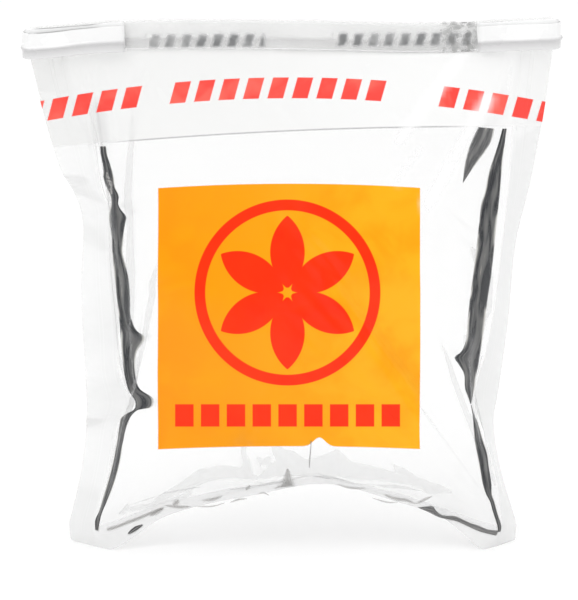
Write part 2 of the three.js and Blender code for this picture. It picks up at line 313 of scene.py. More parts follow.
def smooth_line(points, count):
    """Points at equal distances on a smooth curve through the given ones."""
    given = np.array(points, float)
    padded = np.vstack([2 * given[0] - given[1], given, 2 * given[-1] - given[-2]])
    dense = []
    for p0, p1, p2, p3 in zip(padded, padded[1:], padded[2:], padded[3:]):
        t1 = np.linalg.norm(p1 - p0) ** 0.5
        t2 = t1 + np.linalg.norm(p2 - p1) ** 0.5
        t3 = t2 + np.linalg.norm(p3 - p2) ** 0.5
        t = np.linspace(t1, t2, 24, endpoint=False)[:, None]
        a1 = (t1 - t) / t1 * p0 + t / t1 * p1
        a2 = (t2 - t) / (t2 - t1) * p1 + (t - t1) / (t2 - t1) * p2
        a3 = (t3 - t) / (t3 - t2) * p2 + (t - t2) / (t3 - t2) * p3
        b1 = (t2 - t) / t2 * a1 + t / t2 * a2
        b2 = (t3 - t) / (t3 - t1) * a2 + (t - t1) / (t3 - t1) * a3
        dense.append((t2 - t) / (t2 - t1) * b1 + (t - t1) / (t2 - t1) * b2)
    dense = np.vstack([*dense, given[-1:]])
    run = np.concatenate([[0], np.cumsum(np.linalg.norm(np.diff(dense, axis=0), axis=1))])
    at = np.linspace(0, run[-1], count)
    return np.stack([np.interp(at, run, dense[:, i]) for i in range(given.shape[1])], 1)


def smoothstep(value, low, high):
    t = np.clip((value - low) / (high - low), 0, 1)
    return t * t * (3 - 2 * t)


def mix(a, b, share):
    return a + (b - a) * share


def mesh_object(name, points, faces):
    """A smooth-shaded mesh from points in millimetres."""
    mesh = bpy.data.meshes.new(name)
    mesh.from_pydata((np.asarray(points) * MM).tolist(), [], faces)
    mesh.polygons.foreach_set("use_smooth", [True] * len(mesh.polygons))
    mesh.update()
    made = bpy.data.objects.new(name, mesh)
    bpy.context.scene.collection.objects.link(made)
    return made


def set_map(mesh, name, places):
    """A UV map from a place for each vertex."""
    corners = np.empty(len(mesh.loops), int)
    mesh.loops.foreach_get("vertex_index", corners)
    mesh.uv_layers.new(name=name).data.foreach_set("uv", np.asarray(places)[corners].ravel())


def grid_faces(rows, columns, start=0, flip=False):
    faces = []
    for j in range(rows - 1):
        for i in range(columns - 1):
            a = start + j * columns + i
            face = (a, a + columns, a + columns + 1, a + 1)
            faces.append(face[::-1] if flip else face)
    return faces


def view_axes():
    """The camera's right, up and forward directions."""
    right = np.array([1.0, 0, 0])
    up = np.array([0, math.sin(ELEVATION), math.cos(ELEVATION)])
    forward = np.array([0, math.cos(ELEVATION), -math.sin(ELEVATION)])
    return right, up, forward


def picture_place(points):
    """Where points show in the photograph's plane, in millimetres across and up."""
    right, up, forward = view_axes()
    away = np.asarray(points) - AIM
    scale = DISTANCE / (DISTANCE + away @ forward)
    return np.stack([away @ right * scale + AIM[0], away @ up * scale + AIM_UP], -1)


def from_pixels(pixels):
    """The same plane's millimetres for pixels of the photograph."""
    pixels = np.asarray(pixels, float)
    offsets = np.stack([pixels[..., 0] - PIXEL_X, PIXEL_Y - pixels[..., 1]], -1)
    return offsets / PICTURE_SCALE


# Film


def flat_grid(columns, rows):
    across, down = np.meshgrid(np.linspace(0, 1, columns + 1), np.linspace(0, 1, rows + 1))
    return across[..., None], down[..., None]


def seal_plane(left, right, top, bottom):
    """The surface between four seals that meet at their ends."""
    across, down = flat_grid(len(top) - 1, len(left) - 1)
    sides = mix(left[:, None], right[:, None], across)
    ends = mix(top[None], bottom[None], down)
    corners = mix(mix(left[0], right[0], across), mix(left[-1], right[-1], across), down)
    return sides + ends - corners


def sealed_film():
    left = smooth_line(LEFT_SEAL, ROWS + 1)
    right = smooth_line(RIGHT_SEAL, ROWS + 1)
    bottom = smooth_line(BOTTOM_SEAL, COLUMNS + 1)
    bottom[0], bottom[-1] = left[-1], right[-1]
    top = mix(left[0], right[0], np.linspace(0, 1, COLUMNS + 1)[:, None])
    top[:, 2] = roll_z(top[:, 0]) - SLOT_HALF_HEIGHT
    left[0], right[0] = top[0], top[-1]
    return seal_plane(left, right, top, bottom)


def blown_up(plane):
    """Blows up two flat sheets whose edges go to the seals, and returns the front and the back one."""
    across, down = flat_grid(COLUMNS, ROWS)
    flat_sheets = []
    sealed_sheets = []
    for side in (-1, 1):
        y = np.full_like(across, side * FILM_GAP / 2)
        flat = np.concatenate([(across - 0.5) * POUCH_WIDTH, y, (1 - down) * POUCH_HEIGHT], -1)
        flat_sheets.append(flat.reshape(-1, 3))
        sealed_sheets.append((plane + [0, side * FILM_GAP / 2, 0]).reshape(-1, 3))
    count = len(flat_sheets[0])
    faces = grid_faces(ROWS + 1, COLUMNS + 1) + grid_faces(ROWS + 1, COLUMNS + 1, count, flip=True)
    cloth = mesh_object("blown_film", np.vstack(flat_sheets), faces)
    edge = ((across <= 0) | (across >= 1) | (down <= 0) | (down >= 1)).ravel()
    held = np.nonzero(np.concatenate([edge, edge]))[0].tolist()
    cloth.vertex_groups.new(name="seals").add(held, 1, "REPLACE")
    cloth.shape_key_add(name="Basis")
    sealed = cloth.shape_key_add(name="sealed")
    sealed.data.foreach_set("co", (np.vstack(sealed_sheets) * MM).ravel())
    for value, frame_number in ((0, 1), (1, SEALED_BY)):
        sealed.value = value
        sealed.keyframe_insert("value", frame=frame_number)
    modifier = cloth.modifiers.new("film", "CLOTH")
    settings = modifier.settings
    settings.quality = QUALITY
    settings.mass = VERTEX_MASS
    settings.tension_stiffness = 80
    settings.compression_stiffness = 10
    settings.shear_stiffness = 5
    settings.bending_stiffness = 0.002
    settings.tension_damping = 1
    settings.compression_damping = 1
    settings.shear_damping = 1
    settings.bending_damping = 0.05
    settings.air_damping = 1
    settings.vertex_group_mass = "seals"
    settings.use_pressure = True
    settings.uniform_pressure_force = PRESSURE
    settings.effector_weights.gravity = 0
    modifier.collision_settings.use_collision = False
    modifier.point_cache.frame_end = FRAMES
    scene = bpy.context.scene
    for number in range(1, FRAMES + 1):
        scene.frame_set(number)
    shaped = cloth.evaluated_get(bpy.context.evaluated_depsgraph_get()).data
    points = np.empty(len(shaped.vertices) * 3, np.float32)
    shaped.vertices.foreach_get("co", points)
    points = points.reshape(2, ROWS + 1, COLUMNS + 1, 3).astype(float) / MM
    action = cloth.data.shape_keys.animation_data.action
    bpy.data.meshes.remove(cloth.data)
    bpy.data.actions.remove(action)
    scene.frame_set(1)
    return points


def margin_edge(seal, edge_points):
    """A side margin keeps its width, so what does not show from the front turns to the back."""
    edge = smooth_line(edge_points, len(seal))
    shown = edge[:, 0] - seal[:, 0]
    back = np.sqrt(np.clip(SIDE_MARGIN**2 - shown**2, 0, None))
    down = np.linspace(0, 1, len(seal))
    back = mix(back, FOOT_SPREAD, smoothstep(down, 0.85, 1))
    return np.stack([edge[:, 0], back + seal[:, 1], edge[:, 1]], 1)


def with_margins(plane, sheets):
    """Both sheets as whole grids, with the welded margins round the pouch."""
    left_edge = margin_edge(plane[:, 0], LEFT_EDGE)
    right_edge = margin_edge(plane[:, -1], RIGHT_EDGE)
    bottom_edge = smooth_line(BOTTOM_EDGE, COLUMNS + 1)
    bottom_edge[:, 2] = np.clip(bottom_edge[:, 2], 0, None)
    left_edge[0, 2] = roll_z(left_edge[0, 0]) - SLOT_HALF_HEIGHT
    right_edge[0, 2] = roll_z(right_edge[0, 0]) - SLOT_HALF_HEIGHT
    rows, columns = ROWS + 1 + MARGIN_ROWS, COLUMNS + 1 + 2 * MARGIN_COLUMNS
    middle = np.zeros((rows, columns, 3))
    inner = slice(MARGIN_COLUMNS, MARGIN_COLUMNS + COLUMNS + 1)
    middle[: ROWS + 1, inner] = plane
    for k in range(1, MARGIN_COLUMNS + 1):
        share = k / MARGIN_COLUMNS
        middle[: ROWS + 1, MARGIN_COLUMNS - k] = mix(plane[:, 0], left_edge, share)
        middle[: ROWS + 1, MARGIN_COLUMNS + COLUMNS + k] = mix(plane[:, -1], right_edge, share)
    left_foot = np.array([LEFT_FOOT_X, FOOT_SPREAD, 0])
    right_foot = np.array([RIGHT_FOOT_X, FOOT_SPREAD, 0])
    for k in range(1, MARGIN_ROWS + 1):
        share = k / MARGIN_ROWS
        middle[ROWS + k, inner] = mix(plane[-1], bottom_edge, share)
        for c in range(1, MARGIN_COLUMNS + 1):
            out = c / MARGIN_COLUMNS
            foot = mix(bottom_edge[0], left_foot, out)
            middle[ROWS + k, MARGIN_COLUMNS - c] = mix(middle[ROWS, MARGIN_COLUMNS - c], foot, share)
            foot = mix(bottom_edge[-1], right_foot, out)
            column = MARGIN_COLUMNS + COLUMNS + c
            middle[ROWS + k, column] = mix(middle[ROWS, column], foot, share)
    across = np.gradient(middle, axis=1)
    down = np.gradient(middle, axis=0)
    normal = np.cross(across, down)
    normal /= np.linalg.norm(normal, axis=2, keepdims=True)
    whole = []
    for side, sheet in zip((-1, 1), sheets):
        grid = middle + side * normal * FILM_GAP / 2
        grid[: ROWS + 1, inner] = sheet
        whole.append(grid)
    return whole


def near_line(places, line, reach):
    """1 on a line in the picture plane, fading to 0 at reach."""
    line = from_pixels(line)
    nearest = np.full(len(places), np.inf)
    for a, b in zip(line, line[1:]):
        along = np.clip(((places - a) @ (b - a)) / ((b - a) @ (b - a)), 0, 1)
        nearest = np.minimum(nearest, np.linalg.norm(places - (a + along[:, None] * (b - a)), axis=1))
    return 1 - smoothstep(nearest, 0, reach)


def film_attributes(mesh, whole):
    """Where the film is welded, and where shade and highlights are painted into its colour, for the material
    to read.
    """
    rows, columns = whole[0].shape[:2]
    count = rows * columns
    row, column = np.divmod(np.arange(2 * count) % count, columns)
    beside = np.maximum(MARGIN_COLUMNS - column, column - MARGIN_COLUMNS - COLUMNS) / MARGIN_COLUMNS
    margin = np.clip(np.maximum(beside, (row - ROWS) / MARGIN_ROWS), 0, 1)
    places = picture_place(np.vstack([grid.reshape(-1, 3) for grid in whole]))
    front = np.arange(2 * count) < count
    found = {"margin": margin}
    for name, lines in (("shade", SHADED_LINES), ("glare", GLARE_LINES)):
        found[name] = np.zeros(2 * count)
        for line, reach, strength in lines:
            found[name] = np.maximum(found[name], front * strength * near_line(places, line, reach))
    for name, values in found.items():
        mesh.attributes.new(name, "FLOAT", "POINT").data.foreach_set("value", values.astype(np.float32))
    return places


def film_piece():
    plane = sealed_film()
    sheets = blown_up(plane)
    whole = with_margins(plane, sheets)
    rows, columns = whole[0].shape[:2]
    count = rows * columns
    faces = grid_faces(rows, columns) + grid_faces(rows, columns, count, flip=True)
    film = mesh_object("bag_pouch", np.vstack([grid.reshape(-1, 3) for grid in whole]), faces)
    places = film_attributes(film.data, whole)
    corners = np.empty(len(film.data.loops), int)
    film.data.loops.foreach_get("vertex_index", corners)
    on_front = np.repeat(np.arange(len(faces)) < len(faces) // 2, 4)
    shown = np.where(on_front[:, None], (places / PRINT_SPAN + PRINT_START)[corners], BARE_PLACE)
    film.data.uv_layers.new(name="print").data.foreach_set("uv", shown.ravel())
    finer = film.modifiers.new("finer", "SUBSURF")
    finer.levels = finer.render_levels = 1
    return film


# Tucks


def tuck_grid(film_tree, edges, curl):
    """A narrow strip between two edges given in the picture, laid on the film behind it."""
    first, second = (from_pixels(edge) for edge in edges)
    length = np.linalg.norm(np.diff(first, axis=0), axis=1).sum()
    rows = max(TUCK_MIN_ROWS, int(length / TUCK_STEP))
    first, second = smooth_line(first, rows), smooth_line(second, rows)
    shares = np.linspace(0, 1, TUCK_COLUMNS + 1)
    flat = mix(first[:, None], second[:, None], shares[None, :, None])
    right, up, forward = view_axes()
    camera = AIM - DISTANCE * forward
    points = np.zeros((*flat.shape[:2], 3))
    rays = np.zeros_like(points)
    for j, i in np.ndindex(*flat.shape[:2]):
        across, height = flat[j, i] - [AIM[0], AIM_UP]
        ray = forward * DISTANCE + right * across + up * height
        ray /= np.linalg.norm(ray)
        hit = film_tree.ray_cast(Vector(camera * MM), Vector(ray))[0]
        lift = TUCK_LIFT + curl * math.sin(math.pi * shares[i])
        points[j, i] = np.array(hit) / MM - ray * lift if hit else np.nan
        rays[j, i] = ray
    known = ~np.isnan(points[..., 1])
    nearest = points[..., 1][known].mean()
    for j, i in np.argwhere(~known):
        y = points[j, known[j], 1].mean() if known[j].any() else nearest
        points[j, i] = camera + rays[j, i] * (y - camera[1]) / rays[j, i][1]
    along = np.linspace(0, length / 10, rows)
    strip_map = np.stack(np.broadcast_arrays(shares[None, :], along[:, None]), -1)
    return points, strip_map


def strips_piece(name, grids, tone):
    """One piece of one or more strips of painted shade; tone is 0 for a dark crisp tuck and 1 for a pale
    soft one.
    """
    faces = []
    count = 0
    for points, _ in grids:
        faces += grid_faces(*points.shape[:2], start=count)
        count += points.shape[0] * points.shape[1]
    made = mesh_object(name, np.vstack([points.reshape(-1, 3) for points, _ in grids]), faces)
    strip_map = np.vstack([places.reshape(-1, 2) for _, places in grids])
    set_map(made.data, "strip", strip_map)
    made.data.attributes.new("tone", "FLOAT", "POINT").data.foreach_set("value", [tone] * count)
    return made


def crimp_edges(line, width):
    """Both edges of a strip that is widest in the middle and runs out at its ends."""
    line = smooth_line(line, CRIMP_ROWS)
    along = np.gradient(line, axis=0)
    along /= np.linalg.norm(along, axis=1, keepdims=True)
    aside = np.stack([along[:, 1], -along[:, 0]], 1)
    turn = np.linspace(CRIMP_TIP, math.pi - CRIMP_TIP, len(line))[:, None]
    half = width / 2 * np.sin(turn) ** 0.7
    return line + aside * half, line - aside * half


# Roll and tapes


def roll_z(x):
    line = smooth_line(ROLL_LINE, 200)
    return ROLL_HEIGHT + np.interp(x, line[:, 0], line[:, 1])


def swept(name, section, path):
    """A closed section, as (out, up), swept along a path that runs level or nearly so."""
    path = np.asarray(path)
    along = np.gradient(path, axis=0)
    along /= np.linalg.norm(along, axis=1, keepdims=True)
    out = np.cross(along, [0, 0, 1])
    out /= np.linalg.norm(out, axis=1, keepdims=True)
    up = np.cross(out, along)
    section = np.asarray(section)
    points = path[:, None] + section[None, :, :1] * out[:, None] + section[None, :, 1:] * up[:, None]
    n = len(section)
    faces = []
    for i in range(len(path) - 1):
        for k in range(n):
            a, b = i * n + k, i * n + (k + 1) % n
            faces.append((a, a + n, b + n, b))
    last = (len(path) - 1) * n
    faces.append(tuple(range(n)))
    faces.append(tuple(last + k for k in reversed(range(n))))
    return mesh_object(name, points.reshape(-1, 3), faces)


def tape_section(ridge_side):
    """A flat tape with round edges and the wire's ridge on one face."""
    half, high, ridge = TAPE_THICKNESS / 2, TAPE_HEIGHT / 2, WIRE_RIDGE_WIDTH / 2
    angles = np.linspace(-math.pi, 0, 7)
    low_end = [(half * math.cos(a), -high + half + half * math.sin(a)) for a in angles]
    high_end = [(half * math.cos(a), high - half - half * math.sin(a)) for a in angles[::-1]]
    bulge = []
    for t in np.linspace(-1, 1, 11):
        bulge.append((half + WIRE_RIDGE * (1 + math.cos(math.pi * t)) / 2, -WIRE_DROP + ridge * t))
    points = low_end + bulge + high_end
    if ridge_side < 0:
        points = [(-out, up) for out, up in points][::-1]
    return points


def tape_piece(name, core_y, tab_y, reach, ridge_side, lift):
    radius = abs(tab_y - core_y) / 2
    bend_y = (tab_y + core_y) / 2

    def straight(start, end, y, raised, steps):
        x = np.linspace(start, end, steps)
        wave = 0.12 * np.sin(x * 0.21 + core_y * 3)
        return np.stack([x, np.full_like(x, y), roll_z(x) + raised + wave * (y == tab_y)], 1)

    def bend(side, turns):
        sign = np.cos(turns)
        x = side * (ROLL_END + reach * np.sin(turns))
        z = roll_z(side * ROLL_END) + lift * (1 + sign) / 2
        return np.stack([x, bend_y - radius * sign, z], 1)

    turns = np.linspace(0, math.pi, 14)[1:-1]
    path = np.vstack(
        [
            straight(LEFT_TAB - ROLL_END, -ROLL_END, tab_y, lift, 16),
            bend(-1, turns),
            straight(-ROLL_END, ROLL_END, core_y, 0, 60),
            bend(1, turns[::-1]),
            straight(ROLL_END, ROLL_END - RIGHT_TAB, tab_y, lift, 14),
        ]
    )
    section = np.asarray(tape_section(ridge_side))
    tape = swept(name, section, path)
    run = np.concatenate([[0], np.cumsum(np.linalg.norm(np.diff(path, axis=0), axis=1))])
    height = section[:, 1] / TAPE_HEIGHT + 0.5
    strip_map = np.stack(np.broadcast_arrays(height[None, :], run[:, None] / 100), -1)
    set_map(tape.data, "strip", strip_map.reshape(-1, 2))
    return tape


def roll_piece():
    """The mouth's film, wound round the tapes in a loose flat spiral."""
    steps = 150
    along = 96
    turn = np.linspace(0, 2 * math.pi * ROLL_TURNS, steps)
    shrink = turn / turn[-1] * (ROLL_WALL - 0.06)
    half_depth, half_height = ROLL_HALF_DEPTH - shrink, ROLL_HALF_HEIGHT - shrink
    power = 0.42
    angle = turn - math.pi / 2
    y = -half_depth * np.sign(np.cos(angle)) * np.abs(np.cos(angle)) ** power
    z = half_height * np.sign(np.sin(angle)) * np.abs(np.sin(angle)) ** power
    x = np.linspace(-ROLL_END, ROLL_END, along)
    loose = 0.1 * np.sin(x * 0.35) + 0.08 * np.sin(x * 0.83 + 1.3)
    pinch = np.exp(-(((x - 51) / 4) ** 2))
    grid = np.zeros((along, steps, 3))
    grid[..., 0] = x[:, None] + 0.15 * np.sin(turn * 0.9)[None]
    wave = 0.07 * np.sin(x[:, None] * 0.6 + turn[None] * 1.7)
    grid[..., 1] = y[None] * (1 - 0.16 * pinch[:, None]) + wave
    grid[..., 2] = roll_z(x)[:, None] + z[None] * (1 - 0.05 * pinch[:, None])
    grid[..., 2] += loose[:, None] * 0.3 + wave * 0.5
    roll = mesh_object("bag_roll", grid.reshape(-1, 3), grid_faces(along, steps, flip=True))
    places = picture_place(grid.reshape(-1, 3)) / PRINT_SPAN + PRINT_START
    set_map(roll.data, "print", places)
    return roll


# Materials


class Nodes:
    """Short calls for building a node tree."""

    def __init__(self, tree):
        self.tree = tree

    def add(self, kind, **settings):
        made = self.tree.nodes.new(kind)
        for name, value in settings.items():
            setattr(made, name, value)
        return made

    def put(self, socket, value):
        if isinstance(value, bpy.types.NodeSocket):
            self.tree.links.new(value, socket)
        elif value is not None:
            socket.default_value = value

    def math(self, operation, a, b=None, c=None, clamp=False):
        made = self.add("ShaderNodeMath", operation=operation, use_clamp=clamp)
        for socket, value in zip(made.inputs, (a, b, c)):
            self.put(socket, value)
        return made.outputs[0]

    def total(self, *values):
        result = values[0]
        for value in values[1:]:
            result = self.math("ADD", result, value)
        return result

    def product(self, *values):
        result = values[0]
        for value in values[1:]:
            result = self.math("MULTIPLY", result, value)
        return result

    def ramp(self, value, low, high, to_low=0.0, to_high=1.0):
        made = self.add("ShaderNodeMapRange", interpolation_type="SMOOTHSTEP")
        for name, given in (("Value", value), ("From Min", low), ("From Max", high)):
            self.put(made.inputs[name], given)
        made.inputs["To Min"].default_value = to_low
        made.inputs["To Max"].default_value = to_high
        return made.outputs[0]

    def between(self, value, low, high, soft):
        """1 where value lies between low and high, with edges that are soft wide."""
        rise = self.ramp(self.math("SUBTRACT", value, low), -soft / 2, soft / 2)
        fall = self.ramp(self.math("SUBTRACT", value, high), -soft / 2, soft / 2, 1.0, 0.0)
        return self.product(rise, fall)

    def blend(self, share, a, b):
        made = self.add("ShaderNodeMix", data_type="RGBA")
        self.put(made.inputs["Factor"], share)
        self.put(made.inputs["A"], a)
        self.put(made.inputs["B"], b)
        return made.outputs["Result"]

    def attribute(self, name):
        return self.add("ShaderNodeAttribute", attribute_name=name).outputs["Fac"]

    def uv(self, name):
        split = self.add("ShaderNodeSeparateXYZ")
        self.put(split.inputs[0], self.add("ShaderNodeUVMap", uv_map=name).outputs[0])
        return split.outputs["X"], split.outputs["Y"]

    def noise(self, scale, detail=2.0, roughness=0.5, vector=None, distortion=0.0):
        made = self.add("ShaderNodeTexNoise")
        if vector is None:
            vector = self.add("ShaderNodeTexCoord").outputs["Object"]
        self.put(made.inputs["Vector"], vector)
        made.inputs["Scale"].default_value = scale
        made.inputs["Detail"].default_value = detail
        made.inputs["Roughness"].default_value = roughness
        made.inputs["Distortion"].default_value = distortion
        return made.outputs["Fac"]

    def group(self, tree, **values):
        made = self.add("ShaderNodeGroup", node_tree=tree)
        for name, value in values.items():
            self.put(made.inputs[name.replace("_", " ")], value)
        return made


def film_relief_group():
    """Fine crumples and drawn lines of thin film, as a mask and a height."""
    tree = bpy.data.node_groups.new("film_relief", "ShaderNodeTree")
    for name, value in (("Crumple Scale", 90.0), ("Crumple", 1.0), ("Drawn Lines", 0.3)):
        socket = tree.interface.new_socket(name, in_out="INPUT", socket_type="NodeSocketFloat")
        socket.default_value = value
    for name in ("Height", "Mottle"):
        tree.interface.new_socket(name, in_out="OUTPUT", socket_type="NodeSocketFloat")
    n = Nodes(tree)
    given = n.add("NodeGroupInput")
    coordinates = n.add("ShaderNodeTexCoord").outputs["Object"]
    crumple = n.add("ShaderNodeTexNoise")
    n.put(crumple.inputs["Vector"], coordinates)
    n.put(crumple.inputs["Scale"], given.outputs["Crumple Scale"])
    crumple.inputs["Detail"].default_value = 3
    crumple.inputs["Distortion"].default_value = 0.6
    stretched = n.add("ShaderNodeMapping")
    stretched.inputs["Scale"].default_value = (500, 500, 18)
    n.put(stretched.inputs["Vector"], coordinates)
    lines = n.noise(1.0, detail=1.0, vector=stretched.outputs[0])
    height = n.total(
        n.product(crumple.outputs["Fac"], given.outputs["Crumple"]),
        n.product(lines, given.outputs["Drawn Lines"]),
    )
    out = n.add("NodeGroupOutput")
    n.put(out.inputs["Height"], height)
    n.put(out.inputs["Mottle"], crumple.outputs["Fac"])
    return tree


def new_material(name):
    material = bpy.data.materials.new(name)
    material.use_nodes = True
    return material, Nodes(material.node_tree), material.node_tree.nodes["Principled BSDF"]


def bump(n, height, distance, strength=1.0):
    made = n.add("ShaderNodeBump")
    made.inputs["Strength"].default_value = strength
    made.inputs["Distance"].default_value = distance
    n.put(made.inputs["Height"], height)
    return made.outputs["Normal"]


def print_places(n):
    """Millimetres across and up in the print's plane."""
    u, v = n.uv("print")
    across = n.math("MULTIPLY_ADD", u, PRINT_SPAN, -PRINT_SPAN / 2)
    return across, n.math("MULTIPLY", v, PRINT_SPAN)


def slanted_marks(n, across, up):
    """Three rows of plain slanted blocks that follow the arch of the band."""
    arch = n.product(n.math("POWER", n.math("ABSOLUTE", across), 2.0), -0.00128)
    height = n.math("SUBTRACT", up, n.math("ADD", arch, 135.8))
    slid = n.math("MULTIPLY_ADD", height, -0.28, across)
    place = n.math("FRACT", n.math("DIVIDE", n.math("ADD", slid, 180.0), 7.2))
    blocks = n.between(place, 0.12, 0.78, 0.05)
    tall = n.between(height, -3.1, 3.1, 0.25)
    rows = n.total(
        n.between(slid, -90.0, -43.9, 0.3),
        n.between(slid, -36.0, 28.6, 0.3),
        n.between(slid, 43.2, 90.0, 0.3),
    )
    return n.product(blocks, tall, rows)


def panel_figure(n, across, up):
    """A plain ring round a rosette of six petals, over a row of square blocks."""
    x = n.math("ADD", across, 1.2)
    y = n.math("SUBTRACT", up, 75.5)
    radius = n.math("POWER", n.total(n.product(x, x), n.product(y, y)), 0.5)
    angle = n.math("ARCTAN2", x, y)
    ring = n.between(radius, 24.2, 27.4, 0.3)
    sector = math.pi / 3
    folded = n.math("FLOORED_MODULO", n.math("ADD", angle, sector / 2), sector)
    folded = n.math("SUBTRACT", folded, sector / 2)
    along = n.product(radius, n.math("COSINE", folded))
    aside = n.math("ABSOLUTE", n.product(radius, n.math("SINE", folded)))
    shape = n.math("SUBTRACT", along, 11.9)
    width = n.math("SUBTRACT", n.math("POWER", n.math("SUBTRACT", 196.0, n.product(shape, shape)), 0.5), 8.9)
    petals = n.ramp(n.math("SUBTRACT", width, aside), -0.15, 0.15)
    petals = n.product(petals, n.between(along, 1.4, 22.6, 0.3))
    place = n.math("FRACT", n.math("DIVIDE", n.math("ADD", across, 34.6), 7.6))
    blocks = n.product(
        n.between(place, 0.04, 0.76, 0.04),
        n.between(across, -34.9, 33.2, 0.2),
        n.between(up, 36.0, 42.6, 0.25),
    )
    return n.math("MAXIMUM", n.math("MAXIMUM", ring, petals), blocks)


def film_material(relief):
    material, n, shader = new_material("clear_film")
    across, up = print_places(n)
    wobble = n.noise(45.0, detail=1.0)
    lower = n.total(123.3, n.product(across, 0.044), n.product(across, across, -0.0004))
    band = n.between(n.math("SUBTRACT", up, lower), 0.0, 60.0, 0.5)
    edge_line = n.between(n.math("SUBTRACT", up, lower), -0.35, 0.1, 0.3)
    edge_line = n.product(edge_line, n.between(across, -52.0, 52.0, 20.0))
    side = n.product(n.math("SUBTRACT", wobble, 0.5), 0.8)
    top = n.total(107.6, n.product(across, across, -0.00085))
    dip = n.math("MULTIPLY", n.math("SUBTRACT", across, 8.2), 0.42)
    dip = n.math("EXPONENT", n.product(dip, dip, -1.0))
    base = n.total(30.2, n.product(dip, 2.6), n.product(across, across, -0.0006))
    panel = n.product(
        n.between(n.math("ADD", across, side), -39.3, 37.9, 0.3),
        n.ramp(n.math("SUBTRACT", top, up), -0.15, 0.15),
        n.ramp(n.math("SUBTRACT", up, base), -0.15, 0.15),
    )
    figure = n.product(panel_figure(n, across, up), panel)
    marks = slanted_marks(n, across, up)
    ink = n.math("MAXIMUM", panel, marks)
    made = n.group(relief, Crumple_Scale=70.0, Crumple=1.0, Drawn_Lines=0.12)
    mottle = made.outputs["Mottle"]
    shade, glare, margin = (n.attribute(name) for name in ("shade", "glare", "margin"))
    welded = n.ramp(margin, 0.0, 0.07)
    weld_lines = n.total(
        n.between(margin, 0.16, 0.2, 0.02),
        n.between(margin, 0.42, 0.45, 0.02),
        n.between(margin, 0.52, 0.54, 0.02),
    )
    weld_lines = n.product(weld_lines, n.ramp(up, 112.0, 140.0, 0.1, 0.55))

    # The orange is darker towards the left, as painted shade
    orange = n.blend(n.ramp(across, -40.0, 38.0), (0.93, 0.3, 0.0, 1), (0.97, 0.44, 0.008, 1))
    orange = n.blend(n.ramp(mottle, 0.35, 0.75), orange, (0.94, 0.34, 0.0, 1))
    red = n.blend(n.ramp(mottle, 0.3, 0.8), (0.95, 0.032, 0.0, 1), (0.9, 0.022, 0.0, 1))
    ink_red = n.blend(n.ramp(mottle, 0.4, 0.6), (0.93, 0.07, 0.055, 1), (0.95, 0.13, 0.1, 1))
    clear = n.blend(welded, (0.8, 0.802, 0.8, 1), (0.88, 0.882, 0.88, 1))
    clear = n.blend(weld_lines, clear, (0.4, 0.4, 0.4, 1))
    pale = n.blend(n.ramp(across, -30.0, 60.0), (0.76, 0.76, 0.75, 1), (0.87, 0.87, 0.865, 1))
    colour = n.blend(band, clear, pale)
    # Painted shade: the film turns grey where the shade attribute is high
    colour = n.blend(shade, colour, (0.2, 0.2, 0.2, 1))
    colour = n.blend(n.product(edge_line, 0.8), colour, (0.2, 0.2, 0.2, 1))
    colour = n.blend(marks, colour, ink_red)
    colour = n.blend(panel, colour, orange)
    colour = n.blend(figure, colour, red)
    # Painted highlight: the film turns white where the glare attribute is high
    colour = n.blend(n.product(glare, 0.75), colour, (1, 1, 1, 1))
    # Light that bounces off the print is taken as neutral, so it doesn't tint the film and floor behind it
    bounced = n.add("ShaderNodeLightPath").outputs["Is Diffuse Ray"]
    colour = n.blend(bounced, colour, (0.84, 0.84, 0.84, 1))
    n.put(shader.inputs["Base Color"], colour)

    alpha = n.total(0.1, n.product(welded, 0.18), n.product(mottle, 0.04), n.product(weld_lines, 0.3))
    alpha = n.math("MAXIMUM", alpha, n.product(band, 0.45))
    # The painted shade also makes the film more opaque
    alpha = n.math("MAXIMUM", alpha, n.product(shade, 0.6))
    alpha = n.math("MAXIMUM", alpha, n.product(edge_line, 0.7))
    # The painted highlight also makes the film more opaque
    alpha = n.math("MAXIMUM", alpha, n.product(glare, 0.55))
    fresnel = n.add("ShaderNodeFresnel")
    fresnel.inputs["IOR"].default_value = 1.5
    alpha = n.math("ADD", alpha, n.product(fresnel.outputs[0], 0.3), clamp=True)
    alpha = n.math("MAXIMUM", alpha, ink)
    n.put(shader.inputs["Alpha"], alpha)
    shader.inputs["Specular IOR Level"].default_value = 0.2

    rough = n.total(0.1, n.product(band, 0.12), n.product(mottle, 0.08))
    n.put(shader.inputs["Roughness"], rough)
    height = n.total(made.outputs["Height"], n.product(weld_lines, 0.5))
    n.put(shader.inputs["Normal"], bump(n, height, 0.0004, 0.55))
    return material


